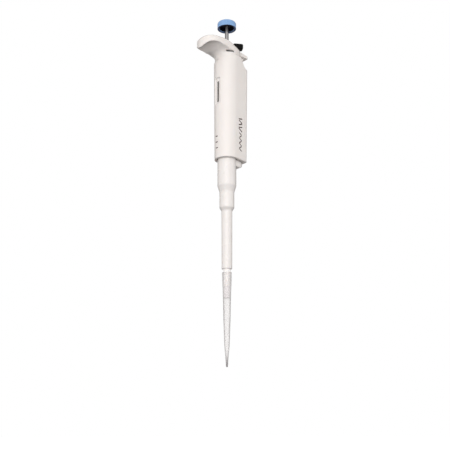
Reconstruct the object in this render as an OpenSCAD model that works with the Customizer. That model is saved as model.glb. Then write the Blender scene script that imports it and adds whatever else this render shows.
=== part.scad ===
// Adjustable air-displacement pipette, 100 to 1000 microlitres, with a fitted tip.
// The origin is on the long axis, at the middle of the sleeve's land. +Z runs up to the
// push button, -X is the finger-hook side and +X is the tip-ejector side.
// Each module gives its heights above the handle's lower shoulder, and lift() moves
// them to the origin. Coaxial parts that only pass each other keep a small gap.

/* [Handle] */
// Radius of the round barrel at middle height
barrel_r = 11; // [10.9:0.1:11.4]
// Height of the handle's crown above its lower shoulder
crown_z = 111.2; // [111:0.1:111.6]
// Distance from the axis to the tip of the finger hook
hook_reach = 31.4; // [31:0.2:33]
// Half the width of the finger hook
hook_half_w = 12; // [11.6:0.1:12.4]
// Distance from the axis to the flat rear face at middle height
rear_x = 17.8; // [17.7:0.1:18.2]
// Angle by which each side cheek turns in towards the rear
cheek_angle = 10; // [9:0.5:11]
// Distance from the axis to the seam of the rear cover
seam_x = 14.15; // [14:0.05:14.3]

/* [Push button and plunger] */
// Radius of the push button
button_r = 8.45; // [8.2:0.05:9]
// Height of the button's lower rim above the shoulder
button_z = 126; // [125.9:0.1:128]
// Height of the push button
button_h = 6; // [5.9:0.1:6.6]
// Radius of the steel plunger rod
rod_r = 1.7; // [1.65:0.01:1.7]
// Radius of the piston
piston_r = 4.7; // [4.6:0.01:4.7]

/* [Volume setting] */
// Radius of the adjusting screw over its thread
screw_r = 4.6; // [4.5:0.01:4.6]
// Outer radius of the counter's digit drums
drum_r = 8; // [7.8:0.05:8]
// Height of one digit drum
drum_h = 6.2; // [6.1:0.01:6.25]
// Height of the lowest drum's underside
drum_z = 51.9; // [51.9:0.01:52]

/* [Counter window] */
// Lowest and highest point of the window's recess
recess_z = [50, 75]; // [49:0.5:76]
// Lowest and highest point of the clear window
window_z = [51.6, 71.1]; // [51:0.1:72]
// Half the width of the recess
recess_half_w = 2.9; // [2.8:0.1:3.2]
// Half the width of the clear window
window_half_w = 1.5; // [1.4:0.1:1.6]

/* [Tip ejector] */
// Outer radius of the sleeve below the handle
sleeve_r = 8.15; // [8.1:0.01:8.2]
// Outer radius of the sleeve's land
land_r = 6.35; // [6.25:0.05:6.45]
// Upper and lower end of the land
land_z = [-29.2, -43]; // [-43.5:0.1:-29]
// Height of the sleeve's lower end
sleeve_end_z = -96.1; // [-96.3:0.1:-95.5]
// Distance from the axis to the ejector rod
ejector_x = 12.9; // [12.8:0.05:12.9]
// Radius of the ejector rod
ejector_rod_r = 1.4; // [1.3:0.05:1.4]

/* [Tip] */
// Height of the tip's upper rim
tip_top_z = -99; // [-99.8:0.1:-98.8]
// Length of the tip
tip_len = 77.7; // [76.7:0.1:78.7]

/* [Hidden] */
$fn = 96;

// Height of the handle's lower shoulder above the origin
shoulder_z = -(land_z[0] + land_z[1]) / 2;
// Gap left between fitted parts, and radial gap of a running fit
fit = 0.05;
// Round bore and rear channel inside the handle
bore_r = 8.4;
bore_top_z = 104.2;
channel_half_w = 3.7;
channel_x = [7.5, 15.3];
// Draft of the handle's lower part: its plan at the shoulder and at the head, against middle height
draft = [0.975, 1.045];
// Cavity of the lock lever's hub, under the crown
hub_cavity_r = 6.8;
hub_cavity_top_z = 108.4;
bush_r = 3.25;
// Recess under the push button that takes the insert
insert_r = 6.6;
// Height at which the barrel ends and the head with the hook begins
head_z = 95;
// Rear edge of the head, in front of the ejector button
head_rear_x = 9.4;
cheek_corner_r = 2;
// Rib that guides the ejector rod and carries its spring
rib_z = [68, 70];
// Turn and height of the lock lever
lever_turn = -32;
lever_z = 105.4;
// Pitch of the drums, and place of the carry pinions
drum_pitch = drum_h + 0.15;
pinion_x = 9.5;
pinion_h = 2.4;
// Openings for the two snap tabs, turned from the rear towards the front
tab_turn = 115;
tab_z = 98.7;

// Points on a quadratic curve from a to c that is pulled towards b
function curve(a, b, c, n) = [for (i = [0:n]) let (t = i / n)
    (1 - t) * (1 - t) * a + 2 * t * (1 - t) * b + t * t * c];
// Points on an arc
function arc(centre, r, from, to, n) = [for (i = [0:n]) let (a = from + (to - from) * i / n)
    centre + r * [cos(a), sin(a)]];
function mirrored(points) = [for (i = [len(points) - 1:-1:0]) [points[i][0], -points[i][1]]];

module lift() {
    translate([0, 0, shoulder_z]) children();
}
// A ring about the axis, from height z0 to z1
module ring(r_out, r_in, z0, z1) {
    translate([0, 0, z0]) difference() {
        cylinder(r = r_out, h = z1 - z0);
        translate([0, 0, -1]) cylinder(r = r_in, h = z1 - z0 + 2);
    }
}
module disc(r, z0, z1) {
    translate([0, 0, z0]) cylinder(r = r, h = z1 - z0);
}
module o_ring(mean_r, section_r, z) {
    rotate_extrude() translate([mean_r, z]) circle(r = section_r, $fn = 32);
}
// A block between two corners
module block(low, high) {
    translate(low) cube(high - low);
}
// A side outline in X and Z, drawn half_w to each side of the middle plane
module side_slab(points, half_w) {
    translate([0, half_w, 0]) rotate([90, 0, 0]) linear_extrude(2 * half_w) polygon(points);
}
// A helical spring about the axis
module coil(mean_r, wire_r, z0, z1, turns) {
    sides = 8;
    steps = 20 * turns;
    rise = z1 - z0 - 2 * wire_r;
    points = [for (i = [0:steps], j = [0:sides - 1])
        let (a = 360 * turns * i / steps, b = 360 * j / sides, r = mean_r + wire_r * cos(b))
        [r * cos(a), r * sin(a), z0 + wire_r + rise * i / steps + wire_r * sin(b)]];
    skin = [for (i = [0:steps - 1], j = [0:sides - 1]) let (k = (j + 1) % sides)
        [i * sides + j, i * sides + k, (i + 1) * sides + k, (i + 1) * sides + j]];
    first_cap = [for (j = [sides - 1:-1:0]) j];
    last_cap = [for (j = [0:sides - 1]) steps * sides + j];
    polyhedron(points = points, faces = concat(skin, [first_cap, last_cap]));
}

// ---- handle -------------------------------------------------------------

// Plan of the lower part: the round barrel, and two cheeks that leave it and run to the rear face
module lower_plan() {
    reach = barrel_r - 0.1;
    corner_x = rear_x - cheek_corner_r;
    corner_y = (reach - cheek_corner_r - corner_x * sin(cheek_angle)) / cos(cheek_angle);
    half = concat([[0, 1 - barrel_r], reach * [sin(cheek_angle), -cos(cheek_angle)]],
        arc([corner_x, -corner_y], cheek_corner_r, cheek_angle - 90, 0, 8));
    circle(r = barrel_r);
    polygon(concat(half, mirrored(half)));
}
module lower_body() {
    linear_extrude(head_z, scale = draft[1] / draft[0]) scale(draft[0]) lower_plan();
}
// Lower part with its rear shoulder scooped out in front of the ejector button
module lower_part() {
    intersection() {
        lower_body();
        side_slab(concat([[-20, -1], [rear_x + 2, -1], [rear_x + 2, 88.3]],
            curve([channel_x[1], 88.9], [10.3, 90], [head_rear_x, 96.5], 10), [[-20, 96.5]]), 14);
    }
}
// Heights of the head's upper rim and of its crown above that rim, from the hook's nose to the rear
head_rim = [[-hook_reach, 105, 3.4], [-29, 106.2, 3.4], [-25, 106.6, 3.4], [-18, 107, 3.4],
    [-12, 107.4, 3.4], [-9, 107.1, 4], [-6, 106.3, crown_z - 106.3], [-3, 105.1, 5.8],
    [0.8, 103.2, 6.5], [4, 101.9, 6.5], [head_rear_x, 99.8, 6.5]];
// Heights of the head's lower edge
head_low = [[-hook_reach, 95.9], [-30.5, 98], [-28.3, 100.1], [-25, 101.3], [-21, 101.9], [-16, 102.1],
    [-8, 101.4], [-4, 100.1], [0, 98], [5, head_z], [head_rear_x, head_z]];
// Plan of the head: a hook with a round nose, narrowing behind the lever
module head_plan() {
    tilt = 15.2;
    cheek = [for (x = [-32, head_rear_x]) [x, (barrel_r + 0.05 - x * sin(tilt)) / cos(tilt)]];
    intersection() {
        hull() for (x = [hook_half_w - hook_reach, 30]) translate([x, 0]) circle(r = hook_half_w);
        offset(r = 1.5) offset(delta = -1.5) polygon(concat(cheek, mirrored(cheek)));
    }
}
// Cross-section of the crowned top at one place along the head
module crown_section(place) {
    steps = 12;
    translate([place.x, 0, 0]) rotate([90, 0, 90]) linear_extrude(0.01) polygon(concat(
        [for (i = [-steps:steps]) [hook_half_w * i / steps, place.y + place.z * (1 - pow(i / steps, 2))]],
        [[hook_half_w, 90], [-hook_half_w, 90]]));
}
module head() {
    intersection() {
        translate([0, 0, 90]) linear_extrude(30) head_plan();
        union() for (i = [0:len(head_rim) - 2]) hull() {
            crown_section(head_rim[i]);
            crown_section(head_rim[i + 1]);
        }
        union() {
            disc(barrel_r * draft[1], head_z - 1, 102);
            side_slab(concat(head_low, [[head_rear_x, 120], [-hook_reach, 120]]), 14);
        }
    }
}
// Fillet between the barrel and the underside of the hook
module hook_fillet() {
    edge_r = barrel_r * draft[1] - 0.2;
    intersection() {
        rotate_extrude() polygon(concat([[9, 94]],
            curve([edge_r, 95.5], [edge_r, 101.9], [edge_r + 5, 102.2], 8), [[edge_r + 5, 103], [9, 103]]));
        block([-20, -barrel_r, 93], [0, barrel_r, 105]);
    }
}
module handle_solid() {
    lower_part();
    head();
    hook_fillet();
}
// Channel for the ejector rod, with the rib left standing across it
module channel() {
    difference() {
        block([channel_x[0], -channel_half_w, -1], [channel_x[1], channel_half_w, 98]);
        difference() {
            block([11.3, -channel_half_w - 1, rib_z[0]], [channel_x[1] + 1, channel_half_w + 1, rib_z[1]]);
            translate([ejector_x, 0, rib_z[0] - 1]) cylinder(r = ejector_rod_r + 0.1, h = 4);
        }
    }
}
module window_opening(half_w, z, depth_x, gap) {
    block([-barrel_r - 1, gap - half_w, z[0] + gap], [depth_x, half_w - gap, z[1] - gap]);
}
// Slot in which the lock lever swings, with sides that lie along the lever at both ends of its swing
module lever_slot() {
    reach = 14;
    side_gap = 3.6;
    side = [for (along = [0, reach]) [along * cos(lever_turn) + side_gap * sin(lever_turn),
        along * sin(lever_turn) - side_gap * cos(lever_turn)]];
    half = concat(side, [[reach, side[1].y]]);
    translate([0, 0, lever_z - 0.1]) linear_extrude(10) difference() {
        polygon(concat(half, mirrored(half)));
        circle(r = 5.2);
    }
}
module tab_slots() {
    for (side = [-1, 1])
        rotate([0, 0, 180 + side * (180 - tab_turn)])
            block([bore_r - 1, -3.4, tab_z - 0.5], [barrel_r + 1, 3.4, tab_z + 0.5]);
}
module handle_shell() {
    color("whitesmoke") lift() difference() {
        handle_solid();
        block([seam_x, -12, -1], [rear_x + 2, 12, 97]);
        disc(bore_r, -1, bore_top_z);
        disc(hub_cavity_r, bore_top_z - 1, hub_cavity_top_z);
        disc(bush_r + fit, hub_cavity_top_z - 1, crown_z + 1);
        channel();
        lever_slot();
        tab_slots();
        window_opening(recess_half_w, recess_z, 0.65 - barrel_r, 0);
        window_opening(window_half_w, window_z, -7, 0);
    }
}
module rear_cover() {
    color("whitesmoke") lift() difference() {
        intersection() {
            lower_part();
            block([seam_x + fit, -12, -1], [rear_x + 2, 12, 97]);
        }
        channel();
    }
}
module window_lens() {
    color("lightcyan", 0.5) lift() difference() {
        window_opening(window_half_w, window_z, -bore_r - fit, fit);
        block([-barrel_r - 2, -3, 50], [0.7 - barrel_r, 3, 76]);
    }
}

// ---- push button, plunger and piston ------------------------------------

module push_button() {
    color("cornflowerblue") lift() difference() {
        translate([0, 0, button_z]) rotate_extrude() polygon(concat(
            [[0, 0], [button_r - 0.2, 0], [button_r, 0.2]],
            arc([button_r - 1, button_h - 1], 1, 0, 90, 6), [[0, button_h]]));
        disc(insert_r + fit, button_z - 1, button_z + 4.45);
    }
}
module button_insert() {
    color("midnightblue") lift() difference() {
        disc(insert_r, button_z + 0.6, button_z + 4.4);
        disc(rod_r, button_z - 1, button_z + 3.5);
        disc(insert_r - 1, button_z - 1, button_z + 2.5);
    }
}
module plunger_rod() {
    color("silver") lift() disc(rod_r, 10.05, button_z + 3.45);
}
module stop_collar() {
    color("goldenrod") lift() ring(5, rod_r, 71.9, 74.35);
}
module spring_collar() {
    color("goldenrod") lift() ring(7, rod_r, 33.5, 36);
}
module piston() {
    color("gainsboro") lift() difference() {
        disc(piston_r, -11, 15.5);
        disc(rod_r + 0.02, 10, 16);
    }
}

// ---- volume setting -----------------------------------------------------

module adjusting_screw() {
    color("goldenrod") lift() difference() {
        ring(screw_r, rod_r + fit, 76, 98);
        for (z = [77.5:1.44:96])
            ring(screw_r + 1, screw_r - 0.35, z, z + 0.6);
    }
}
module thrust_washer() {
    color("silver") lift() ring(5, rod_r + fit, 74.4, 75.95);
}
module screw_nut() {
    color("goldenrod") lift() ring(bore_r - fit, screw_r + fit, 87.5, 93.5);
}
module snap_ring() {
    color("dimgray") lift() {
        ring(bore_r - fit, 5, 93.6, 104.1);
        for (side = [-1, 1])
            rotate([0, 0, 180 + side * (180 - tab_turn)])
                block([bore_r - 1, -3.3, tab_z - 0.4], [barrel_r - 0.1, 3.3, tab_z + 0.4]);
    }
}
module top_bush() {
    color("gainsboro") lift() ring(bush_r, rod_r + fit, hub_cavity_top_z + 0.1, crown_z - 0.5);
}
// Digit drums, counted from the bottom
module drum(place) {
    low = drum_z + place * drum_pitch;
    color("black") lift() ring(drum_r, 5.6, low, low + drum_h);
}
module drum_tens() {
    drum(0);
}
module drum_hundreds() {
    drum(1);
}
module drum_thousands() {
    drum(2);
}
module drive_sleeve() {
    color("dimgray") lift() ring(7.8, rod_r + fit, 46, drum_z - fit);
}
module counter_base() {
    color("dimgray") lift() ring(bore_r - fit, 2.2, 44.9, 45.95);
}
module counter_frame() {
    top = drum_z + 3 * drum_pitch + 0.1;
    color("dimgray") lift() difference() {
        union() {
            disc(bore_r - fit, top, top + 1.5);
            disc(5.5, drum_z + 0.3, top + 0.5);
            block([6, -1.4, top], [pinion_x + 0.8, 1.4, top + 1.5]);
        }
        disc(5.2, 50, 80);
        translate([pinion_x, 0, top - 1]) cylinder(r = 0.52, h = 4);
    }
}
// A carry pinion beside the joint above the drum at this place
module carry_pinion(place) {
    low = drum_z + (place + 1) * drum_pitch - pinion_h / 2;
    outline = [for (i = [0:15]) (i % 2 == 0 ? 1.3 : 0.95) * [cos(22.5 * i), sin(22.5 * i)]];
    color("gainsboro") lift() translate([pinion_x, 0, low]) difference() {
        linear_extrude(pinion_h) polygon(outline);
        translate([0, 0, -1]) cylinder(r = 0.55, h = pinion_h + 2, $fn = 32);
    }
}
module carry_pinion_low() {
    carry_pinion(0);
}
module carry_pinion_high() {
    carry_pinion(1);
}
module pinion_axle() {
    color("silver") lift() translate([pinion_x, 0, 55]) cylinder(r = 0.5, h = 17.4, $fn = 32);
}

// ---- lock lever ---------------------------------------------------------

module lock_lever() {
    hub_h = 2.8;
    color("black") lift() rotate([0, 0, lever_turn]) {
        ring(6.6, screw_r + 0.2, lever_z, lever_z + hub_h);
        translate([0, 0, lever_z]) linear_extrude(hub_h) translate([6, -2.6]) square([3, 5.2]);
        translate([0, 0, lever_z + 0.7]) linear_extrude(5.1) polygon(concat([[5.6, -3.3]],
            arc([13.65, -2.3], 1, -90, 0, 4), arc([13.65, 2.3], 1, 0, 90, 4), [[5.6, 3.3]]));
    }
}
module lock_oring() {
    color("black") lift() o_ring(5.9, 0.5, bore_top_z + 0.6);
}

// ---- springs ------------------------------------------------------------

module return_spring() {
    color("silver") lift() coil(5.55, 0.3, 14.05, 33.45, 8);
}
module blowout_spring() {
    color("silver") lift() coil(7, 0.4, 14.05, 19.45, 3);
}
module blowout_washer() {
    color("silver") lift() ring(bore_r - 0.1, 5.95, 19.5, 20.8);
}
module spring_seat() {
    color("dimgray") lift() ring(bore_r - 0.1, 4.9, 12.45, 14);
}
module ejector_spring() {
    color("silver") lift() translate([ejector_x, 0, 0]) coil(2.15, 0.225, rib_z[1] + fit, 84.45, 7);
}

// ---- cylinder, seals and nozzle -----------------------------------------

module cylinder_bore() {
    disc(4.85, -23.9, 0);
    disc(5.8, -1.6, 13);
    disc(1.2, -40, 0);
}
module air_cylinder() {
    color("gainsboro") lift() difference() {
        union() {
            disc(6.9, -22.5, 11);
            disc(5.7, -25.6, -22);
            disc(bore_r - fit, 10.3, 12.4);
            disc(3, -33, -25);
        }
        cylinder_bore();
    }
}
module cylinder_nut() {
    color("dimgray") lift() ring(bore_r - fit, 6.95, 7.9, 10.25);
}
module piston_seal() {
    color("white") lift() ring(5.75, piston_r + 0.03, -1.5, 1.5);
}
module seal_oring() {
    color("black") lift() o_ring(5.3, 0.44, 2.05);
}
module seal_retainer() {
    color("gainsboro") lift() ring(5.75, 4.85, 2.6, 12.3);
}
// The nozzle's stem and its cone, on which the tip seats
module nozzle() {
    color("whitesmoke") lift() difference() {
        rotate_extrude() polygon([[0, -25.65], [4.9, -25.65], [4.9, -42], [3.3, -46], [3.2, -96],
            [3.15, tip_top_z], [2.8, tip_top_z - 11.7], [0, tip_top_z - 11.7]]);
        disc(3.05, -33.1, -25);
        disc(1.2, -120, -30);
        ring(4.4, 3.4, -26.55, -25);
    }
}
module nozzle_oring() {
    color("black") lift() o_ring(3.9, 0.44, -26.1);
}

// ---- tip ejector --------------------------------------------------------

module ejector_button() {
    stem_low_z = 84.5;
    color("whitesmoke") lift() difference() {
        union() {
            block([11, -3.3, stem_low_z], [15.1, 3.3, 102]);
            side_slab([[15, 95.9], [15.1, 95.9], [17.6, 97.2], [19.6, 101.2], [15, 101.2]], 3.3);
            side_slab([[10.2, 101], [20.4, 101], [21.2, 101.8], [21.2, 102.8], [20.5, 103.6],
                [10.9, 105.2], [10.2, 104.6]], 5.6);
        }
        translate([ejector_x, 0, stem_low_z - 1]) cylinder(r = ejector_rod_r + 0.02, h = 6.5);
    }
}
module ejector_rod() {
    color("silver") lift() translate([ejector_x, 0, -1.9]) cylinder(r = ejector_rod_r, h = 91.8);
}
module ejector_sleeve() {
    top_z = 7.5;
    inner_r = sleeve_r - 1;
    color("whitesmoke") lift() difference() {
        union() {
            rotate_extrude() polygon([[inner_r, top_z], [sleeve_r, top_z], [sleeve_r, -23.4],
                [land_r, land_z[0]], [land_r, land_z[1]], [4.6, -45.7], [4.4, sleeve_end_z + 0.5],
                [4.1, sleeve_end_z], [3.5, sleeve_end_z], [3.7, -46.4], [land_r - 1, -42.6],
                [land_r - 1, -29.8], [inner_r, -24.1]]);
            sleeve_lug();
        }
        disc(inner_r, -20, 20);
        translate([ejector_x, 0, -2]) cylinder(r = ejector_rod_r + 0.02, h = 5);
    }
}
// Oval flange from the sleeve to the ejector rod, with a tongue up into the handle's channel
module sleeve_lug() {
    intersection() {
        union() {
            translate([0, 0, -6]) linear_extrude(5.7) hull() {
                circle(r = sleeve_r - 0.2);
                translate([9.3, 0]) circle(r = 6.2);
            }
            block([7.6, -3.5, -3], [15.1, 3.5, 2]);
        }
        side_slab([[-9, -6], [10.5, -6], [16, -3], [16, 3], [-9, 3]], 9);
    }
}

// ---- tip ----------------------------------------------------------------

module tip_profile() {
    end = tip_top_z - tip_len;
    polygon([[3.2, tip_top_z], [4, tip_top_z], [4.1, tip_top_z - 0.3], [4.1, tip_top_z - 1],
        [3.75, tip_top_z - 1.3], [3.65, tip_top_z - 11.7], [3.35, tip_top_z - 21.5],
        [2.95, tip_top_z - 39.4], [2.15, tip_top_z - 59.8], [1.1, tip_top_z - 71], [0.6, end],
        [0.35, end], [0.75, tip_top_z - 71], [1.7, tip_top_z - 59.8], [2.45, tip_top_z - 39.4],
        [2.8, tip_top_z - 21.5], [2.85, tip_top_z - 11.9]]);
}
module tip() {
    ribs = 12;
    color("aliceblue", 0.5) lift() {
        rotate_extrude() tip_profile();
        for (i = [0:ribs - 1])
            rotate([0, 0, i * 360 / ribs])
                block([3.5, -0.25, tip_top_z - 7], [4, 0.25, tip_top_z - 0.5]);
    }
}
module tip_filter() {
    color("lightgray") lift() disc(2.78, tip_top_z - 21.3, tip_top_z - 12.5);
}

push_button();
button_insert();
plunger_rod();
stop_collar();
spring_collar();
piston();
adjusting_screw();
thrust_washer();
screw_nut();
snap_ring();
top_bush();
lock_lever();
lock_oring();
handle_shell();
rear_cover();
window_lens();
counter_frame();
counter_base();
drum_tens();
drum_hundreds();
drum_thousands();
drive_sleeve();
carry_pinion_low();
carry_pinion_high();
pinion_axle();
return_spring();
blowout_spring();
blowout_washer();
spring_seat();
air_cylinder();
cylinder_nut();
piston_seal();
seal_oring();
seal_retainer();
nozzle();
nozzle_oring();
ejector_button();
ejector_rod();
ejector_spring();
ejector_sleeve();
tip();
tip_filter();
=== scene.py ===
"""Looks of an adjustable pipette: smooth moulded shells, clear tip, counter digits, materials and studio.

Shapes are worked out in millimetres above the handle's lower shoulder, then turned into metres in the row
frame. +Z points up to the button and -X to the finger hook. The moulded shells are implicit solids: a field
is negative inside the solid, and mesh_from_field() skins it.
"""

import math

import bmesh
import bpy
import numpy as np
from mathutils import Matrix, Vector


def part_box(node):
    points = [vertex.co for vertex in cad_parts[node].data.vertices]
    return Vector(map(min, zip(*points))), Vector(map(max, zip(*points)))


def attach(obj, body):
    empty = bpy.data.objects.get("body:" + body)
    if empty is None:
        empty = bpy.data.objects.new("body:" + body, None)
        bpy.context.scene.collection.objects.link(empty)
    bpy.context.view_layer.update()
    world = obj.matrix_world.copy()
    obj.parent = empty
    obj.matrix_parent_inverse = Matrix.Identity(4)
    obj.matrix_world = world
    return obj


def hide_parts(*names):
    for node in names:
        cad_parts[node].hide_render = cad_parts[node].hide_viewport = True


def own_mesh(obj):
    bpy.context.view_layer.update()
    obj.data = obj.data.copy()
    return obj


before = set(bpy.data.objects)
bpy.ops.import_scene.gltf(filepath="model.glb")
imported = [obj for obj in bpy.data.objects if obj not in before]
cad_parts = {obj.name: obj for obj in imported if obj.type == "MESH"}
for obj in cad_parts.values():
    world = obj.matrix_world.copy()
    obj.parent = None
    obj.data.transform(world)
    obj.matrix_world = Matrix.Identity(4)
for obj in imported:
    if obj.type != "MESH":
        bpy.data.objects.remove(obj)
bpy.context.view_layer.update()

# ---- places taken from the frame ------------------------------------------------------------

MM = 0.001
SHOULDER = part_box("rear_cover")[0].z


def node_box(node):
    """Corners of a CAD node in millimetres above the shoulder."""
    low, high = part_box(node)
    lift = Vector((0, 0, SHOULDER))
    return (low - lift) / MM, (high - lift) / MM


cover_low, cover_high = node_box("rear_cover")
button_low, button_high = node_box("push_button")
tip_low, tip_high = node_box("tip")
lever_low, lever_high = node_box("lock_lever")
thumb_low, thumb_high = node_box("ejector_button")
lens_low, lens_high = node_box("window_lens")

# Main sizes in millimetres, the same as in the CAD source
BARREL_R = 11
BORE_R = 8.4
HOOK_HALF_W = 12
HOOK_REACH = 31.4
CROWN_Z = 111.2
REAR_X = 17.8
SEAM_X = cover_low.x
CHEEK_TILT = math.radians(10)
BUTTON_R = button_high.x
TIP_LENGTH = tip_high.z - tip_low.z


# ---- implicit solids ------------------------------------------------------------------------

def soft_max(a, b, blend):
    """Intersection of two solids with their shared edge rounded over about this distance."""
    overlap = np.maximum(blend - np.abs(a - b), 0) / blend
    return np.maximum(a, b) + overlap * overlap * blend / 4


def soft_min(a, b, blend):
    """Union of two solids with a fillet of about this size between them."""
    return -soft_max(-a, -b, blend)


def slab(value, low, high):
    """Distance outside the range low to high."""
    return np.abs(value - (low + high) / 2) - (high - low) / 2


def box_field(x, y, z, low, high, blend):
    """A box between two corners with its edges rounded."""
    sides = soft_max(slab(x, low[0], high[0]), slab(y, low[1], high[1]), blend)
    return soft_max(sides, slab(z, low[2], high[2]), blend)


def gradient(field, points):
    """The field's slope at each point, from small steps either way along each axis."""
    step = 0.02
    columns = []
    for axis in range(3):
        shift = np.zeros(3)
        shift[axis] = step
        columns.append((field(*(points + shift).T) - field(*(points - shift).T)) / (2 * step))
    return np.stack(columns, 1)


def corner_values(value, corner, shape):
    """The values at one corner of every grid cell."""
    return value[tuple(slice(c, c + n) for c, n in zip(corner, shape))]


def cell_vertices(value):
    """One vertex, in grid units, for each cell the surface crosses, and each cell's vertex number."""
    shape = tuple(n - 1 for n in value.shape)
    total = np.zeros(shape + (3,))
    count = np.zeros(shape)
    for corner in np.ndindex(2, 2, 2):
        for axis in range(3):
            if corner[axis]:
                continue
            far = list(corner)
            far[axis] = 1
            near_value = corner_values(value, corner, shape)
            far_value = corner_values(value, far, shape)
            crossed = (near_value < 0) != (far_value < 0)
            share = near_value / np.where(crossed, near_value - far_value, 1)
            for k in range(3):
                place = corner[k] + (share if k == axis else 0)
                total[..., k] += np.where(crossed, place, 0)
            count += crossed
    active = count > 0
    index = np.full(shape, -1)
    index[active] = np.arange(active.sum())
    return np.argwhere(active) + total[active] / count[active][:, None], index


def quads_along(axis, inside, index):
    """Quads round the grid edges along one axis that pass through the surface."""
    across = [(axis + 1) % 3, (axis + 2) % 3]
    start = [slice(None)] * 3
    start[axis] = slice(0, -1)
    for k in across:
        start[k] = slice(1, -1)
    end = list(start)
    end[axis] = slice(1, None)
    first, second = inside[tuple(start)], inside[tuple(end)]
    quads = []
    for where, turn in ((first & ~second, 1), (~first & second, -1)):
        at = np.argwhere(where)
        at[:, across] += 1
        ring = []
        for step_b, step_c in ((-1, -1), (0, -1), (0, 0), (-1, 0)):
            cell = at.copy()
            cell[:, across[0]] += step_b
            cell[:, across[1]] += step_c
            ring.append(index[tuple(cell.T)])
        quads.append(np.stack(ring[::turn], 1))
    return quads


def skin_cells(value):
    """Surface net of a grid of field values: vertices in grid units, and quads."""
    points, index = cell_vertices(value)
    quads = [quad for axis in range(3) for quad in quads_along(axis, value < 0, index)]
    return points, np.concatenate(quads)


def to_row(points):
    """Millimetres above the shoulder to metres in the row frame."""
    return np.asarray(points, float) * MM + np.array([0, 0, SHOULDER])


def new_piece(name, points, faces):
    """A smooth-shaded object from points in millimetres."""
    mesh = bpy.data.meshes.new(name)
    mesh.from_pydata(to_row(points).tolist(), [], [list(map(int, face)) for face in faces])
    mesh.polygons.foreach_set("use_smooth", [True] * len(mesh.polygons))
    mesh.update()
    piece = bpy.data.objects.new(name, mesh)
    bpy.context.scene.collection.objects.link(piece)
    return piece


def mesh_from_field(name, field, low, high, cell):
    """Skins the solid where field(x, y, z) is negative, then pulls each vertex onto its true surface."""
    margin = 2 * cell
    axes = [np.arange(a - margin, b + margin + cell, cell) for a, b in zip(low, high)]
    x, y, z = np.meshgrid(*axes, indexing="ij")
    points, quads = skin_cells(field(x, y, z))
    points = points * cell + np.array([axis[0] for axis in axes])
    for _ in range(3):
        slope = gradient(field, points)
        steep = np.maximum((slope ** 2).sum(1), 1e-6)
        move = slope * (field(*points.T) / steep)[:, None]
        length = np.linalg.norm(move, axis=1)
        points -= move * np.minimum(1, 0.5 * cell / np.maximum(length, 1e-9))[:, None]
    return new_piece(name, points, quads)


def lathe(name, outline, sides, ripple=None):
    """Turns a closed outline of (radius, height) points about the axis.
    ripple(angle, r, z), if given, returns the radii to use at that angle."""
    outline = np.array(outline, float)
    count = len(outline)
    angles = np.arange(sides) * 2 * math.pi / sides
    rings = []
    for angle in angles:
        r = outline[:, 0] if ripple is None else ripple(angle, outline[:, 0], outline[:, 1])
        rings.append(np.stack([r * math.cos(angle), r * math.sin(angle), outline[:, 1]], 1))
    faces = []
    for i in range(sides):
        for j in range(count):
            a, b = i * count, (i + 1) % sides * count
            k = (j + 1) % count
            faces.append((a + j, b + j, b + k, a + k))
    piece = new_piece(name, np.concatenate(rings), faces)
    weld(piece)
    return piece


def weld(piece):
    """Joins vertices that lie on each other, as those on the axis do."""
    work = bmesh.new()
    work.from_mesh(piece.data)
    bmesh.ops.remove_doubles(work, verts=work.verts, dist=1e-7)
    work.to_mesh(piece.data)
    work.free()


def rounded(outline, radius, steps=3):
    """A closed outline with its corners rounded off.
    A point just beyond each end of a rounding keeps the smooth shading of the flats even."""
    beyond = 1.25
    longest_share = 0.35
    result = []
    count = len(outline)
    for i, corner in enumerate(outline):
        corner = np.array(corner, float)
        before = np.array(outline[i - 1], float) - corner
        after = np.array(outline[(i + 1) % count], float) - corner
        cut = min(radius, longest_share * np.linalg.norm(before), longest_share * np.linalg.norm(after))
        start = corner + before / np.linalg.norm(before) * cut
        end = corner + after / np.linalg.norm(after) * cut
        result.append(corner + (start - corner) * beyond)
        for t in np.linspace(0, 1, steps + 1):
            result.append((1 - t) ** 2 * start + 2 * t * (1 - t) * corner + t * t * end)
        result.append(corner + (end - corner) * beyond)
    return result


# ---- handle ---------------------------------------------------------------------------------

# The head's two cheeks close towards the rear by HEAD_TILT, and stand HEAD_CHEEK from the axis
HEAD_TILT = math.radians(15.2)
HEAD_CHEEK = 11.05
HEAD_REAR_X = 9.4
# Centre of the hook's round nose, and how softly the handle's upper edges are rounded
HOOK_CENTRE_X = HOOK_HALF_W - HOOK_REACH
EDGE_BLEND = 1.3
CHANNEL_HALF_W = 3.7
# The lever swings from this angle on one side of the rear to the same angle on the other
LEVER_SWING = math.radians(32)


def height_curve(*points):
    """A smooth height over x through a few points, as a function of x."""
    px, pz = np.array(points, float).T
    slope = np.gradient(pz, px)

    def height(x):
        x = np.clip(x, px[0], px[-1])
        i = np.clip(np.searchsorted(px, x) - 1, 0, len(px) - 2)
        span = px[i + 1] - px[i]
        t = (x - px[i]) / span
        at_start = (2 * t ** 3 - 3 * t ** 2 + 1) * pz[i] + (t ** 3 - 2 * t ** 2 + t) * span * slope[i]
        at_end = (3 * t ** 2 - 2 * t ** 3) * pz[i + 1] + (t ** 3 - t ** 2) * span * slope[i + 1]
        return at_start + at_end
    return height


# Upper edge of the head and the hook, and lower edge of the hook's rim
rim_top = height_curve((-31.5, 105.0), (-29, 106.2), (-25, 106.6), (-18, 107.0), (-12, 107.4), (-9, 107.1),
                       (-6, 106.3), (-3, 105.1), (0.8, 103.2), (4, 101.9), (9.4, 99.8))
rim_low = height_curve((-31.5, 95.9), (-30.5, 98.0), (-28.3, 100.1), (-25, 101.3), (-21, 101.9),
                       (-16, 102.1), (-8, 101.4), (-4, 100.1), (0, 98), (5, 95))


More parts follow.
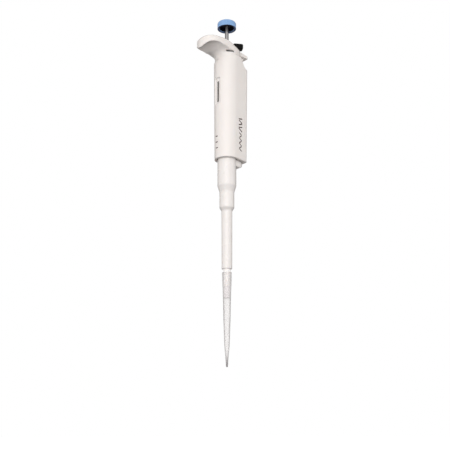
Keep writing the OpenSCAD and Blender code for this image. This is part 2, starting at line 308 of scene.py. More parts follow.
def lower_scale(z):
    """Draft of the lower handle, which widens a little towards the head."""
    foot_scale, gain, height = 0.975, 0.065, 85
    return foot_scale + gain * np.clip(z / height, 0, 1.05)


def waist(z):
    """How far the barrel draws in under the hook."""
    depth, start, height = 1.1, 90, 4
    rise = np.clip((z - start) / height, 0, 1)
    return depth * rise * rise * (3 - 2 * rise)


def barrel_field(x, y, z):
    """The round front of the handle."""
    front = np.clip(-x / BARREL_R, 0, 1)
    return np.hypot(x, y) - BARREL_R * lower_scale(z) + waist(z) * front


def plan_field(x, y, z):
    """Plan of the lower handle: round barrel with two cheeks that run to a flat rear face."""
    scale = lower_scale(z)
    cheek = math.sin(CHEEK_TILT) * x + math.cos(CHEEK_TILT) * np.abs(y) - BARREL_R * scale
    rear = soft_max(cheek, x - REAR_X * scale, 3)
    rear = np.maximum(rear, BARREL_R * math.sin(CHEEK_TILT) - x)
    return np.minimum(barrel_field(x, y, z), rear)


# Height of the crown above the upper edge
crown_rise = height_curve((-31.5, 3.4), (-18, 3.4), (-12, 3.4), (-6, CROWN_Z - rim_top(-6)), (0.8, 6.5),
                          (9.4, 6.5))


def from_spine(x, y):
    """Distance from the line along the middle of the head, which ends at the hook's centre."""
    return np.hypot(x - np.maximum(x, HOOK_CENTRE_X), y)


def top_height(x, y):
    """Height of the head's crowned top."""
    fullness = 2.6
    share = np.minimum(from_spine(x, y) / HOOK_HALF_W, 1)
    return rim_top(x) + crown_rise(x) * (1 - share ** fullness)


def scoop_height(x):
    """Height of the rear shoulder, which sinks away behind the head."""
    rear_height, rise, hollow = cover_high.z - 0.9, 7.4, 2.6
    inward = np.clip((REAR_X - x) / (REAR_X - HEAD_REAR_X), 0, None)
    return rear_height + rise * inward ** hollow


def head_plan_field(x, y):
    """Plan of the head: a hook with a round nose that narrows behind the lever to a flat rear face."""
    hook = from_spine(x, y) - HOOK_HALF_W
    cheek = math.sin(HEAD_TILT) * x + math.cos(HEAD_TILT) * np.abs(y) - HEAD_CHEEK
    return soft_max(soft_max(hook, cheek, 2), x - HEAD_REAR_X, 4)


def head_field(x, y, z):
    """The hook's plate grows out of the barrel through a fillet that is widest at the front."""
    side_fillet, front_gain, arch_height = 6, 9, 0.9
    fillet = side_fillet + front_gain * np.clip((-x - 5) / 10, 0, 1)
    arch = arch_height * (1 - (y / HOOK_HALF_W) ** 2) * np.clip((x + 31) / 5, 0, 1)
    grown = soft_min(plan_field(x, y, z), rim_low(x) + arch - z, fillet)
    return soft_max(soft_max(grown, head_plan_field(x, y), 0.6), z - top_height(x, y), EDGE_BLEND)


def outer_field(x, y, z):
    """The whole handle without its openings."""
    under_head = 97
    lower = soft_max(plan_field(x, y, z), z - scoop_height(x), EDGE_BLEND)
    lower = np.maximum(lower, z - under_head)
    return soft_max(np.minimum(lower, head_field(x, y, z)), -z, 0.5)


def channel_field(x, y, z):
    """Rear channel of the ejector, which is shallower where the counter and the nut need a wall."""
    outer_x, step_z, blend = 15.3, 84, 0.6
    low = box_field(x, y, z, (7.5, -CHANNEL_HALF_W, -5), (outer_x, CHANNEL_HALF_W, step_z), blend)
    high = box_field(x, y, z, (8.9, -CHANNEL_HALF_W, step_z - 2), (outer_x, CHANNEL_HALF_W, 99), blend)
    return np.minimum(low, high)


def window_field(x, y, z):
    """Shallow recess round the counter window, and the opening through the wall."""
    recess_half_w, recess_depth, opening_half_w, gap = 2.9, 0.55, 1.15, 0.05
    front_only = x + 5
    middle = (lens_low.z + lens_high.z) / 2
    recess = soft_max(slab(y, -recess_half_w, recess_half_w), slab(z, middle - 11.6, middle + 13), 1.2)
    recess = soft_max(recess, BARREL_R - recess_depth - np.hypot(x, y), 0.8)
    length = slab(z, lens_low.z - gap, lens_high.z + gap)
    opening = soft_max(slab(y, -opening_half_w, opening_half_w), length, 0.9)
    return np.maximum(np.minimum(recess, opening), front_only)


def tab_slot_field(x, y, z):
    """Slots on both sides under the head, for the snap ring's tabs."""
    half_length, inner_r, low_z, high_z = 3.7, 9, 98.1, 99.3
    angle = np.arctan2(np.abs(y), x)
    along = BARREL_R * (angle - math.radians(116))
    slot = soft_max(slab(along, -half_length, half_length), slab(z, low_z, high_z), 0.7)
    return np.maximum(slot, inner_r - np.hypot(x, y))


def lever_slot_field(x, y, z):
    """Opening in the crown that the lever's tab sweeps through, outside the bush."""
    side_gap, inner_r, floor_gap, blend = 3.6, 5.2, 0.15, 0.4
    sector = np.abs(y) * math.cos(LEVER_SWING) - x * math.sin(LEVER_SWING) - side_gap
    sector = np.maximum(sector, -x)
    sector = soft_max(sector, inner_r - np.hypot(x, y), blend)
    return soft_max(sector, lever_low.z - floor_gap - z, blend)


def cavity_field(x, y, z):
    """Bore of the barrel, the lever hub's room above it, and the bush's hole in the crown."""
    bore_top, hub_r, hub_top, hole_r, hole_low = 104.2, 6.2, 108.4, 3.3, 100
    radius = np.hypot(x, y)
    bore = np.maximum(radius - BORE_R, z - bore_top)
    hub = np.maximum(radius - hub_r, slab(z, hole_low, hub_top))
    rod_hole = np.maximum(radius - hole_r, hole_low - z)
    return np.minimum(np.minimum(bore, hub), rod_hole)


def handle_field(x, y, z):
    """The handle in front of the rear cover's seam."""
    solid = outer_field(x, y, z)
    solid = soft_max(solid, x - SEAM_X, 0.35)
    for cut, blend in ((cavity_field, 0.5), (channel_field, 0.5), (window_field, 0.4),
                       (tab_slot_field, 0.4), (lever_slot_field, 0.4)):
        solid = soft_max(solid, -cut(x, y, z), blend)
    return solid


def rear_cover_field(x, y, z):
    """The cover behind the seam, with a hair gap to the handle."""
    seam_gap = 0.08
    solid = soft_max(outer_field(x, y, z), SEAM_X + seam_gap - x, 0.35)
    return soft_max(solid, -channel_field(x, y, z), 0.5)


# ---- small moulded parts --------------------------------------------------------------------

def thumb_button_field(x, y, z):
    """Ejector button: a sloping cap on a stem, with a web under its outer end."""
    cap_half_w, cap_low, stem_half_w, stem_outer_x, stem_top = 5.6, 101, 3.3, 15.1, 103
    slope = math.radians(9)
    top = (z - 105.2) * math.cos(slope) + (x - 10.9) * math.sin(slope)
    cap = soft_max(slab(x, thumb_low.x, thumb_high.x), slab(y, -cap_half_w, cap_half_w), 1.6)
    cap = soft_max(soft_max(cap, cap_low - z, 0.5), top, 0.6)
    dish_r, dish_x, dish_z = 14, 15.5, 118.2
    dish = dish_r - np.sqrt((x - dish_x) ** 2 + y ** 2 + (z - dish_z) ** 2)
    cap = soft_max(cap, dish, 0.4)
    stem = box_field(x, y, z, (11, -stem_half_w, thumb_low.z), (stem_outer_x, stem_half_w, stem_top), 0.8)
    web_edge = (x - stem_outer_x) * 0.86 - (z - 95.9) * 0.5
    web = box_field(x, y, z, (12, -stem_half_w, 95), (19.6, stem_half_w, stem_top), 0.8)
    web = soft_max(web, web_edge, 0.5)
    return soft_min(soft_min(cap, stem, 0.5), web, 0.5)


def lever_field(x, y, z):
    """Lock lever: a hub ring and a radial tab, drawn pointing to the rear and turned to its rest place."""
    hub_r, hole_r, hub_height = 6, 4.8, 2.8
    neck_half_w, tab_half_w, tab_end, tab_lift = 2.6, 3.3, 14.65, 0.7
    u = x * math.cos(LEVER_SWING) - y * math.sin(LEVER_SWING)
    v = y * math.cos(LEVER_SWING) + x * math.sin(LEVER_SWING)
    radius = np.hypot(x, y)
    low = lever_low.z
    hub = soft_max(soft_max(radius - hub_r, hole_r - radius, 0.4), slab(z, low, low + hub_height), 0.4)
    neck = box_field(u, v, z, (hub_r, -neck_half_w, low), (9.5, neck_half_w, low + hub_height), 0.6)
    tab = box_field(u, v, z, (5.6, -tab_half_w, low + tab_lift), (tab_end, tab_half_w, lever_high.z), 1.4)
    return soft_min(hub, soft_min(neck, tab, 0.8), 0.5)


# Corners of the space the sleeve's lug fills
LUG_LOW = (-9, -9, -6)
LUG_HIGH = (15.5, 9, 2)


def lug_field(x, y, z):
    """Oval flange that leads from the sleeve to the ejector rod, with a tongue up into the channel."""
    root_r, flange_r, flange_x, flange_top, bore_r = 8, 6.2, 9.3, -0.3, 7.6
    tongue_half_w, blend = 3.5, 0.6
    flange_low = LUG_LOW[2]
    along = np.clip(x / flange_x, 0, 1)
    plan = np.hypot(x - flange_x * along, y) - (root_r + (flange_r - root_r) * along)
    foot = -(z - flange_low) * 0.88 + (x - 10.5) * 0.48
    flange = soft_max(plan, slab(z, flange_low, flange_top), blend)
    tongue = box_field(x, y, z, (6.5, -tongue_half_w, -3), (15.1, tongue_half_w, LUG_HIGH[2]), blend)
    solid = soft_max(np.minimum(flange, tongue), foot, blend)
    return soft_max(solid, bore_r - np.hypot(x, y), 0.3)


# ---- materials ------------------------------------------------------------------------------

def node_material(name):
    """A material with nothing but a principled shader in it."""
    material = bpy.data.materials.new(name)
    material.use_nodes = True
    tree = material.node_tree
    tree.nodes.clear()
    output = tree.nodes.new("ShaderNodeOutputMaterial")
    shader = tree.nodes.new("ShaderNodeBsdfPrincipled")
    tree.links.new(shader.outputs["BSDF"], output.inputs["Surface"])
    return material, tree, shader


def set_inputs(node, **values):
    """Sets a node's inputs by name, with _ for a space."""
    for key, value in values.items():
        node.inputs[key.replace("_", " ")].default_value = value


def noise(tree, scale, detail=3.0, stretch=(1, 1, 1)):
    """Cloudy noise in the object's own coordinates."""
    place = tree.nodes.new("ShaderNodeTexCoord")
    mapping = tree.nodes.new("ShaderNodeMapping")
    mapping.inputs["Scale"].default_value = stretch
    texture = tree.nodes.new("ShaderNodeTexNoise")
    texture.inputs["Scale"].default_value = scale
    texture.inputs["Detail"].default_value = detail
    tree.links.new(place.outputs["Object"], mapping.inputs["Vector"])
    tree.links.new(mapping.outputs["Vector"], texture.inputs["Vector"])
    return texture


def mix_colours(tree, factor, first, second):
    """Mixes two colours, each given as numbers or as the output of another node."""
    mix = tree.nodes.new("ShaderNodeMix")
    mix.data_type = "RGBA"
    for name, colour in (("A", first), ("B", second)):
        if isinstance(colour, bpy.types.NodeSocket):
            tree.links.new(colour, mix.inputs[name])
        else:
            mix.inputs[name].default_value = (*colour, 1)
    tree.links.new(factor, mix.inputs["Factor"])
    return mix.outputs["Result"]


def facing(tree, low, high, from_low, from_high):
    """A value that runs from low where the surface faces the eye to high where it turns away."""
    weight = tree.nodes.new("ShaderNodeLayerWeight")
    weight.inputs["Blend"].default_value = 0.5
    return spread(tree, weight.outputs["Facing"], low, high, from_low, from_high)


def underside(tree):
    """0 on surfaces that face up or sideways, 1 on surfaces that face straight down: the mask of painted
    shade.
    """
    geometry = tree.nodes.new("ShaderNodeNewGeometry")
    parts = tree.nodes.new("ShaderNodeSeparateXYZ")
    tree.links.new(geometry.outputs["Normal"], parts.inputs["Vector"])
    return spread(tree, parts.outputs["Z"], 0, 1, -0.4, -0.95)


def near_end(tree, low, high):
    """1 at the height low in metres and below it, falling to 0 at the height high: the mask of painted
    shade.
    """
    place = tree.nodes.new("ShaderNodeTexCoord")
    parts = tree.nodes.new("ShaderNodeSeparateXYZ")
    tree.links.new(place.outputs["Object"], parts.inputs["Vector"])
    return spread(tree, parts.outputs["Z"], 1, 0, low, high)


def larger(tree, first, second, share):
    """The larger of the first value and a share of the second."""
    part = tree.nodes.new("ShaderNodeMath")
    part.operation = "MULTIPLY"
    part.inputs[1].default_value = share
    tree.links.new(second, part.inputs[0])
    pick = tree.nodes.new("ShaderNodeMath")
    pick.operation = "MAXIMUM"
    tree.links.new(first, pick.inputs[0])
    tree.links.new(part.outputs["Value"], pick.inputs[1])
    return pick.outputs["Value"]


def spread(tree, value, low, high, from_low=0.3, from_high=0.7):
    """Maps the range from_low to from_high of a value to the range low to high."""
    span = tree.nodes.new("ShaderNodeMapRange")
    set_inputs(span, From_Min=from_low, From_Max=from_high, To_Min=low, To_Max=high)
    tree.links.new(value, span.inputs["Value"])
    return span.outputs["Result"]


def add_bump(tree, shader, height, strength, distance):
    """Fine relief, with its depth in metres."""
    bump = tree.nodes.new("ShaderNodeBump")
    set_inputs(bump, Strength=strength, Distance=distance)
    tree.links.new(height, bump.inputs["Height"])
    tree.links.new(bump.outputs["Normal"], shader.inputs["Normal"])


def plastic(name, colour, shade, rough=(0.3, 0.42), grain=2600, bump=0.12, glow=0.0, gloss=0.5,
            rim=None, below=None, lift=0.0):
    """Moulded plastic with fine grain and uneven gloss, in clouds of colour and shade.
    The colours rim and below are painted shade on grazing faces and on faces that point down.
    The amount glow is light that scatters under the surface. The amount lift is painted light: the part
    glows in its own colour."""
    material, tree, shader = node_material(name)
    clouds = noise(tree, 55)
    fine = noise(tree, grain, 2)
    factor = spread(tree, clouds.outputs["Fac"], 0, 1)
    base = mix_colours(tree, factor, colour, shade)
    # Painted shade: grazing faces turn to the rim colour and downward faces to the below colour.
    if rim:
        base = mix_colours(tree, facing(tree, 0, 1, 0.45, 0.95), base, rim)
    if below:
        base = mix_colours(tree, underside(tree), base, below)
    tree.links.new(base, shader.inputs["Base Color"])
    # Painted light: with lift above zero the part glows in its own colour.
    tree.links.new(base, shader.inputs["Emission Color"])
    set_inputs(shader, Emission_Strength=lift)
    tree.links.new(spread(tree, clouds.outputs["Fac"], *rough), shader.inputs["Roughness"])
    add_bump(tree, shader, fine.outputs["Fac"], bump, 0.00005)
    set_inputs(shader, Specular_IOR_Level=gloss)
    if glow:
        set_inputs(shader, Subsurface_Weight=glow, Subsurface_Scale=0.002)
        shader.inputs["Subsurface Radius"].default_value = (1, 0.8, 0.6)
    return material


def metal(name, colour, shade, rough, stretch=(1, 1, 60), metallic=1.0, rim=None):
    """Turned or drawn metal with fine tool marks, and a rim colour at grazing angles as painted shade."""
    material, tree, shader = node_material(name)
    marks = noise(tree, 900, 2, stretch)
    factor = spread(tree, marks.outputs["Fac"], 0, 1)
    base = mix_colours(tree, factor, colour, shade)
    # Painted shade: edges seen at grazing angles darken to the rim colour.
    if rim:
        base = mix_colours(tree, facing(tree, 0, 1, 0.02, 0.45), base, rim)
    tree.links.new(base, shader.inputs["Base Color"])
    tree.links.new(spread(tree, marks.outputs["Fac"], rough * 0.8, rough * 1.3), shader.inputs["Roughness"])
    set_inputs(shader, Metallic=metallic)
    add_bump(tree, shader, marks.outputs["Fac"], 0.08, 0.00003)
    return material


def clear_plastic(name, colour, rim, rough, see_through, grain=1800, dark_end=None):
    """Translucent plastic. The pair see_through is its opacity, seen straight on and at grazing angles.
    The colour rim is painted shade at grazing angles. Between the two heights of dark_end it turns
    denser and takes the rim colour, as painted shade towards the narrow end."""
    material, tree, shader = node_material(name)
    fine = noise(tree, grain, 2, (1, 1, 0.08))
    set_inputs(shader, Roughness=rough, IOR=1.35)
    cover = facing(tree, *see_through, 0.25, 0.85)
    base = mix_colours(tree, fine.outputs["Fac"], colour, [0.97 * c for c in colour])
    # Painted shade: the rim colour at grazing angles.
    base = mix_colours(tree, facing(tree, 0, 1, 0.3, 0.8), base, rim)
    # Painted shade: darker and denser towards the end.
    if dark_end:
        end = near_end(tree, *dark_end)
        cover = larger(tree, cover, end, 0.6)
        base = mix_colours(tree, end, base, rim)
    tree.links.new(cover, shader.inputs["Alpha"])
    tree.links.new(base, shader.inputs["Base Color"])
    add_bump(tree, shader, fine.outputs["Fac"], 0.03, 0.00005)
    return material


# The white shell's rim colour is painted shade on its grazing edges.
WHITE = plastic("white_shell", (0.90, 0.85, 0.82), (0.92, 0.87, 0.84), glow=0.06, rim=(0.4, 0.36, 0.335))
# The sleeve's rim and below colours are painted shade on its grazing edges and lower faces.
WHITE_SLEEVE = plastic("white_sleeve", (0.90, 0.855, 0.83), (0.92, 0.875, 0.85), rough=(0.24, 0.34),
                       glow=0.06, rim=(0.34, 0.31, 0.295), below=(0.8, 0.76, 0.74))
# The button's navy rim and below colours are painted shade on its grazing edges and its underside.
BLUE = plastic("button_blue", (0.23, 0.42, 0.72), (0.27, 0.47, 0.78), rough=(0.25, 0.36),
               rim=(0.05, 0.09, 0.3), below=(0.02, 0.03, 0.12))
# Near black for the button's liner: painted shade of the deep hollow under the button.
HOLLOW_SHADE = plastic("button_hollow_shade", (0.002, 0.003, 0.008), (0.004, 0.005, 0.012), rough=(0.35, 0.45), gloss=0.15)
BLACK = plastic("lever_black", (0.002, 0.002, 0.002), (0.004, 0.004, 0.004), rough=(0.4, 0.55), gloss=0.1)
DRUM_BLACK = plastic("drum_black", (0.01, 0.01, 0.01), (0.018, 0.018, 0.018), rough=(0.4, 0.5))
DIGIT_WHITE = plastic("digit_white", (0.8, 0.8, 0.78), (0.85, 0.85, 0.83), rough=(0.5, 0.6))
DARK = plastic("frame_grey", (0.05, 0.05, 0.055), (0.07, 0.07, 0.075), rough=(0.45, 0.6), gloss=0.2)
LIGHT = plastic("acetal_white", (0.7, 0.7, 0.67), (0.75, 0.75, 0.73), rough=(0.35, 0.5))
RUBBER = plastic("seal_rubber", (0.015, 0.015, 0.015), (0.025, 0.025, 0.025), rough=(0.6, 0.75), bump=0.3)
INK = plastic("print_ink", (0.06, 0.035, 0.03), (0.1, 0.06, 0.05), rough=(0.5, 0.65), gloss=0.2)
# The nozzle and the filter have lift: painted light, so they glow in their own colours behind the clear
# tip.
NOZZLE = plastic("nozzle_white", (0.82, 0.79, 0.78), (0.84, 0.81, 0.8), rough=(0.3, 0.4), glow=0.1,
                 lift=0.2)
FILTER = plastic("filter_grey", (0.66, 0.63, 0.64), (0.7, 0.67, 0.68), rough=(0.7, 0.9), grain=4200,
                 bump=0.4, lift=0.3)
# The rod's dark rim colour is painted shade on its grazing edges.
STEEL = metal("rod_steel", (0.55, 0.54, 0.54), (0.65, 0.64, 0.64), rough=0.14, metallic=0.6,
              rim=(0.03, 0.03, 0.035))
SPRING = metal("spring_steel", (0.5, 0.5, 0.5), (0.6, 0.6, 0.6), rough=0.3, stretch=(1, 1, 1))
BRASS = metal("brass", (0.75, 0.55, 0.25), (0.82, 0.63, 0.32), rough=0.25)
TIP_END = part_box("tip")[0].z
# The tip's rim colour is painted shade on its grazing edges, and dark_end paints shade towards its narrow
# end.
TIP_CLEAR = clear_plastic("tip_clear", (0.97, 0.94, 0.93), (0.36, 0.335, 0.34), rough=0.3,
                          see_through=(0.2, 0.92), dark_end=(TIP_END + 2 * MM, TIP_END + 14 * MM))
# The lens is tinted near black: painted shade of the dark counter behind the window.
LENS = clear_plastic("window_clear", (0.06, 0.055, 0.055), (0.05, 0.05, 0.05), rough=0.06,
                     see_through=(0.25, 0.5))

# Materials of the CAD nodes that show as they are
CAD_MATERIALS = {
    STEEL: ["plunger_rod", "piston"],
    BRASS: ["stop_collar", "spring_collar", "adjusting_screw", "screw_nut"],
    SPRING: ["thrust_washer", "pinion_axle", "blowout_spring", "blowout_washer", "ejector_rod"],
    DARK: ["snap_ring", "counter_frame", "counter_base", "drive_sleeve", "spring_seat", "cylinder_nut"],
    LIGHT: ["top_bush", "carry_pinion_low", "carry_pinion_high", "air_cylinder", "piston_seal",
            "seal_retainer"],
    RUBBER: ["lock_oring", "seal_oring", "nozzle_oring"],
    DRUM_BLACK: ["drum_tens", "drum_hundreds", "drum_thousands"],
    LENS: ["window_lens"],
    NOZZLE: ["nozzle"],
    FILTER: ["tip_filter"],
}


def paint_cad_nodes():
    """Gives the inner parts their materials, in the CAD's own meshes."""
    for material, nodes in CAD_MATERIALS.items():
        for node in nodes:
            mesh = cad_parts[node].data
            mesh.materials.clear()
            mesh.materials.append(material)


def dress(piece, body, material, slot, *replaced):
    """Gives a finished piece its material and body, and hides what it stands for. The argument slot is not
    used.
    """
    piece.data.materials.clear()
    piece.data.materials.append(material)
    if replaced:
        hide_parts(*replaced)
    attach(piece, body)


# ---- pieces ---------------------------------------------------------------------------------

def build_handle():
    """Handle and rear cover, skinned on a grid of about half a millimetre."""
    cell = 0.45
    span = ((-HOOK_REACH, -HOOK_HALF_W, 0), (SEAM_X, HOOK_HALF_W, CROWN_Z))
    shell = mesh_from_field("handle_skin", handle_field, *span, cell)
    dress(shell, "handle", WHITE, "white_shell", "handle_shell")
    span = ((SEAM_X, -HOOK_HALF_W, 0), (REAR_X + 1, HOOK_HALF_W, cover_high.z + 1))
    cover = mesh_from_field("rear_cover_skin", rear_cover_field, *span, cell)
    dress(cover, "handle", WHITE, "white_shell", "rear_cover")


def build_small_parts():
    """Ejector button, lock lever and the sleeve's lug."""
    cell = 0.3
    thumb = mesh_from_field("ejector_thumb_button", thumb_button_field, thumb_low, thumb_high, cell)
    dress(thumb, "ejector", WHITE, "white_shell", "ejector_button")
    lever = mesh_from_field("lock_lever_tab", lever_field, lever_low, lever_high, cell)
    dress(lever, "lever", BLACK, "black_plastic", "lock_lever")
    lug = mesh_from_field("sleeve_lug", lug_field, LUG_LOW, LUG_HIGH, cell)
    dress(lug, "ejector", WHITE_SLEEVE, "white_sleeve")


def build_sleeve():
    """Sleeve in three steps: the wide part, the land, and the long tube round the nozzle."""
    top, end = 7.5, -96.1
    wide_r, land_r, tube_r = 8.15, 6.35, 4.6
    wide_bore, land_bore = 7.15, 5.35
    outside = [(wide_bore, top), (wide_r, top), (wide_r, -23.4), (land_r, -29.2), (land_r, -43),
               (tube_r, -45.7), (4.4, end + 0.5), (4.1, end)]
    bore = [(3.5, end), (3.7, -46.4), (land_bore, -42.6), (land_bore, -29.8), (wide_bore, -24.1)]
    sleeve = lathe("sleeve_tube", rounded(outside + bore, 0.6)[::-1], 96)
    dress(sleeve, "ejector", WHITE_SLEEVE, "white_sleeve", "ejector_sleeve")


FLUTES = 60
SIDES_PER_FLUTE = 6
FLUTE_DEPTH = 0.16
BUTTON_HEIGHT = button_high.z - button_low.z


def flute(angle, r, z):
    """Radii of the button's outline at an angle, with flutes that fade out at both ends."""
    share = (z - button_low.z) / BUTTON_HEIGHT
    fade_in = np.clip((share - 0.06) * 12, 0, 1)
    fade_out = np.clip((0.73 - share) * 10, 0, 1)
    on_side = r > BUTTON_R - 0.6
    wave = (0.5 + 0.5 * math.cos(FLUTES * angle)) ** 2
    return r - FLUTE_DEPTH * fade_in * fade_out * on_side * wave


def build_push_button():
    """Cap with fine upright flutes round its side, a slight dish on top, and a hollow below."""
    chamfer, edge_r, dish_r, dish_depth, hollow_top = 0.12, 1.6, 6.6, 0.5, 4.45
    levels = (0.02, 0.07, 0.14, 0.3, 0.5, 0.62, 0.68, 0.73)
    wall = [(BUTTON_R - chamfer, 0)] + [(BUTTON_R, BUTTON_HEIGHT * level) for level in levels]
    edge = [(BUTTON_R + edge_r * (math.cos(a) - 1), BUTTON_HEIGHT + edge_r * (math.sin(a) - 1))
            for a in np.radians([15, 35, 55, 75, 90])]
    dish = [(r, BUTTON_HEIGHT - dish_depth * (1 - (r / dish_r) ** 2)) for r in (dish_r, 5.5, 3.5, 1.5, 0)]
    hollow = [(0, hollow_top), (dish_r, hollow_top), (dish_r, 0.7), (BUTTON_R - 0.7, 0)]
    outline = [(r, z + button_low.z) for r, z in wall + edge + dish + hollow]
    cap = lathe("push_button_cap", outline, FLUTES * SIDES_PER_FLUTE, flute)
    dress(cap, "plunger", BLUE, "blue_plastic", "push_button")


def build_button_insert():
    """Liner of the button, hollow from below round the rod's end; its near black is painted shade of the
    hollow.
    """
    outer_r, rod_hole_r, low, top = 6.58, 1.72, 0.6, 4.4
    outline = [(outer_r, low), (outer_r, top), (rod_hole_r, top), (rod_hole_r, 3.2), (5.6, 3.0),
               (5.9, low)]
    lifted = [(r, z + button_low.z) for r, z in outline]
    liner = lathe("button_liner", rounded(lifted, 0.25, 2)[::-1], 96)
    dress(liner, "plunger", HOLLOW_SHADE, "navy_plastic", "button_insert")


def build_spring(node, body):
    """Stands for a CAD spring with a copy of its mesh."""
    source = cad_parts[node]
    spring = bpy.data.objects.new(node + "_coil", source.data.copy())
    bpy.context.scene.collection.objects.link(spring)
    dress(spring, body, SPRING, "spring_steel", node)
    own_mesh(spring)


def build_springs():
    """The return spring and the ejector spring, both carried by the handle."""
    build_spring("return_spring", "handle")
    build_spring("ejector_spring", "handle")


RIBS = 12
RIB_HEIGHT = 0.2


def rib(angle, r, z):
    """Radii of the tip's outline at an angle, raised where one of the collar's ribs runs."""
    depth = tip_high.z - z
    on_collar = (depth > 1.2) & (depth < 7) & (r > 3.7)
    return r + RIB_HEIGHT * on_collar * max(0.0, math.cos(RIBS * angle)) ** 3


def build_tip():
    """Thin-walled tip with a ribbed collar, as radii at depths below its upper end."""
    outer = [(4.0, 0), (4.1, 0.3), (4.1, 1.0), (3.92, 1.3), (3.88, 6.8), (3.78, 7.2), (3.72, 11.4),
             (3.6, 11.9), (3.32, 21.5), (2.9, 39.4), (2.22, 59.8), (1.2, 71), (0.75, TIP_LENGTH)]
    inner = [(0.35, TIP_LENGTH), (0.75, 71), (1.7, 59.8), (2.45, 39.4), (2.8, 21.5), (2.85, 11.9),
             (3.2, 0)]
    outline = [(r, tip_high.z - depth) for r, depth in outer + inner]
    tip = lathe("tip_body", rounded(outline, 0.25, 2)[::-1], 144, rib)
    dress(tip, "fitted_tip", TIP_CLEAR, "clear_tip", "tip")


def digit_mesh(digit):
    """A flat digit in millimetres, centred on the origin."""
    curve = bpy.data.curves.new("digit", "FONT")
    curve.body = str(digit)
    curve.size = 3.6
    curve.align_x = "CENTER"
    curve.align_y = "CENTER"
    curve.extrude = 0.02
    helper = bpy.data.objects.new("digit", curve)
    bpy.context.scene.collection.objects.link(helper)
    bpy.context.view_layer.update()
    graph = bpy.context.evaluated_depsgraph_get()
    mesh = bpy.data.meshes.new_from_object(helper.evaluated_get(graph))
    bpy.data.objects.remove(helper)
    return mesh


def wrap_round_drum(mesh, turn, radius, middle):
    """Bends a flat digit round a drum, centred at the angle turn and the height middle."""
    for vertex in mesh.vertices:
        across, up, out = vertex.co
        angle = turn + across / radius
        reach = (radius + out) * MM
        vertex.co = (reach * math.cos(angle), reach * math.sin(angle), (middle + up) * MM + SHOULDER)


def build_digits():
    """Ten printed digits round each counter drum, turned so that the given one faces the window."""
    drums = (("drum_thousands", "thousands_drum", 0), ("drum_hundreds", "hundreds_drum", 4),
             ("drum_tens", "tens_drum", 0))
    for drum, body, shown in drums:
        low, high = node_box(drum)
        joined = bmesh.new()
        for digit in range(10):
            mesh = digit_mesh(digit)
            turn = math.pi - (digit - shown) * math.pi / 5
            wrap_round_drum(mesh, turn, high.x + 0.01, (low.z + high.z) / 2)
            joined.from_mesh(mesh)
            bpy.data.meshes.remove(mesh)
        mesh = bpy.data.meshes.new("digits_" + drum)
        joined.to_mesh(mesh)
        joined.free()
        piece = bpy.data.objects.new("digits_" + drum, mesh)
        bpy.context.scene.collection.objects.link(piece)
        dress(piece, body, DIGIT_WHITE, "drum_plastic")


UP = np.array([0, 0, 1.0])


def ink_block(place, level, lean, half_length, half_width):
    """A printed bar as a thin closed block, whose long side leans up by lean degrees from level."""
    lean = math.radians(lean)
    along = level * math.cos(lean) + UP * math.sin(lean)
    side = UP * math.cos(lean) - level * math.sin(lean)
    normal = np.cross(along, side)
    corners = []
    for depth in (-0.03, 0.02):
        for u, v in ((-1, -1), (1, -1), (1, 1), (-1, 1)):
            corners.append(place + along * u * half_length + side * v * half_width + normal * depth)
    faces = [(3, 2, 1, 0), (4, 5, 6, 7), (0, 1, 5, 4), (1, 2, 6, 5), (2, 3, 7, 6), (3, 0, 4, 7)]
    return corners, faces


def cheek_strokes():
    """Two rows of leaning strokes up the near cheek, a wide row above a narrow one."""
    level = np.array([math.cos(CHEEK_TILT), math.sin(CHEEK_TILT), 0])
    normal = np.array([math.sin(CHEEK_TILT), -math.cos(CHEEK_TILT), 0])
    # Each row: height of its top, pitch, number of strokes, their leans, half length and half width
    rows = ((37.4, 2.6, 5, (12, -28, 20), 2.5, 0.5), (23.4, 2.45, 7, (-30, 35), 1.9, 0.42))
    along_cheek = 5.3
    strokes = []
    for top, pitch, count, leans, half_length, half_width in rows:
        for i in range(count):
            height = top - pitch * i
            place = normal * BARREL_R * lower_scale(height) + level * along_cheek + UP * height
            strokes.append(ink_block(place, level, leans[i % len(leans)], half_length, half_width))
    return strokes


def front_ticks():
    """Three short level marks low on the front of the barrel."""
    angle = math.radians(174)
    half_length, half_width = 1.3, 0.45
    outward = np.array([math.cos(angle), math.sin(angle), 0])
    level = np.array([math.sin(angle), -math.cos(angle), 0])
    ticks = []
    for height in (19.8, 14.5, 9.2):
        place = outward * BARREL_R * lower_scale(height) + UP * height
        ticks.append(ink_block(place, level, 0, half_length, half_width))
    return ticks


def build_print():
    """Generic printed marks, in place of the lettering on the real handle."""
    points, faces = [], []
    for corners, quads in cheek_strokes() + front_ticks():
        faces.extend([tuple(i + len(points) for i in quad) for quad in quads])
        points.extend(corners)
    marks = new_piece("printed_marks", points, faces)
    dress(marks, "handle", INK, "black_plastic")


def build_pieces():
    """Every piece of the pipette, from the inner parts to the print."""
    paint_cad_nodes()
    build_handle()
    build_small_parts()
    build_sleeve()
    build_push_button()
    build_button_insert()
    build_springs()
    build_tip()
    build_digits()
    build_print()


# ---- studio ---------------------------------------------------------------------------------

# Camera: distance from the axis and height above the shoulder in millimetres, its direction, and how far
# the pipette's axis stands to the right of the line of sight
LENS_MM = 62
CAMERA_DISTANCE = 635
CAMERA_AZIMUTH = math.radians(-42)
CAMERA_PITCH = math.radians(14.8)
CAMERA_Z = -225.7
AXIS_SHIFT = 1.6


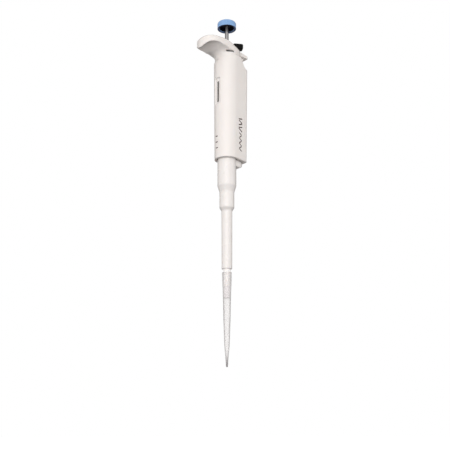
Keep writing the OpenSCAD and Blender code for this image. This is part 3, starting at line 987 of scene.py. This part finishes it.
def build_camera():
    """Camera below the pipette that looks slightly up at it."""
    data = bpy.data.cameras.new("camera")
    data.lens = LENS_MM
    data.sensor_width = 36
    data.clip_start = 0.01
    data.clip_end = 50
    camera = bpy.data.objects.new("camera", data)
    bpy.context.scene.collection.objects.link(camera)
    toward = Vector((math.sin(CAMERA_AZIMUTH), -math.cos(CAMERA_AZIMUTH), 0))
    right = Vector((math.cos(CAMERA_AZIMUTH), math.sin(CAMERA_AZIMUTH), 0))
    place = toward * CAMERA_DISTANCE - right * AXIS_SHIFT + Vector((0, 0, CAMERA_Z))
    camera.location = place * MM + Vector((0, 0, SHOULDER))
    look = -toward * math.cos(CAMERA_PITCH) + Vector((0, 0, math.sin(CAMERA_PITCH)))
    camera.rotation_euler = look.to_track_quat("-Z", "Y").to_euler()
    bpy.context.scene.camera = camera


def area_light(name, place, size, power):
    """A square light that points at the origin, with its place and size in metres."""
    data = bpy.data.lights.new(name, "AREA")
    data.size = size
    data.energy = power
    light = bpy.data.objects.new(name, data)
    light.location = place
    light.rotation_euler = (-Vector(place)).to_track_quat("-Z", "Y").to_euler()
    bpy.context.scene.collection.objects.link(light)


def build_floor():
    """Plain floor below the tip. Seen directly it glows as bright as the backdrop, so no horizon shows."""
    half, drop = 6.0, 0.12
    z = tip_low.z * MM + SHOULDER - drop
    mesh = bpy.data.meshes.new("floor")
    corners = [(-half, -half, z), (half, -half, z), (half, half, z), (-half, half, z)]
    mesh.from_pydata(corners, [], [(0, 1, 2, 3)])
    floor = bpy.data.objects.new("floor", mesh)
    bpy.context.scene.collection.objects.link(floor)
    material, tree, shader = node_material("floor_white")
    set_inputs(shader, Roughness=0.8)
    shader.inputs["Base Color"].default_value = (0.35, 0.35, 0.35, 1)
    path = tree.nodes.new("ShaderNodeLightPath")
    shader.inputs["Emission Color"].default_value = (1, 1, 1, 1)
    tree.links.new(path.outputs["Is Camera Ray"], shader.inputs["Emission Strength"])
    mesh.materials.append(material)


def build_world():
    """White backdrop for the camera, and a dimmer grey light all round the object."""
    world = bpy.data.worlds.new("studio")
    bpy.context.scene.world = world
    world.use_nodes = True
    tree = world.node_tree
    tree.nodes.clear()
    output = tree.nodes.new("ShaderNodeOutputWorld")
    seen = tree.nodes.new("ShaderNodeBackground")
    lit = tree.nodes.new("ShaderNodeBackground")
    seen.inputs["Color"].default_value = (1, 1, 1, 1)
    seen.inputs["Strength"].default_value = 1.0
    lit.inputs["Color"].default_value = (1, 0.985, 0.97, 1)
    place = tree.nodes.new("ShaderNodeTexCoord")
    parts = tree.nodes.new("ShaderNodeSeparateXYZ")
    tree.links.new(place.outputs["Generated"], parts.inputs["Vector"])
    tree.links.new(spread(tree, parts.outputs["Z"], 0.5, 0.8, -0.3, 0.3), lit.inputs["Strength"])
    path = tree.nodes.new("ShaderNodeLightPath")
    mix = tree.nodes.new("ShaderNodeMixShader")
    tree.links.new(path.outputs["Is Camera Ray"], mix.inputs["Fac"])
    tree.links.new(lit.outputs["Background"], mix.inputs[1])
    tree.links.new(seen.outputs["Background"], mix.inputs[2])
    tree.links.new(mix.outputs["Shader"], output.inputs["Surface"])


def build_studio():
    """Camera, floor, backdrop, a key light from the camera's side and a weak one from behind."""
    build_camera()
    build_floor()
    build_world()
    area_light("key", (-0.74, -0.70, 0.0), 1.0, 7.3)
    area_light("back", (0.3, 0.9, 0.5), 0.9, 1)
    scene = bpy.context.scene
    scene.view_settings.view_transform = "Standard"
    scene.view_settings.look = "None"


build_pieces()
build_studio()
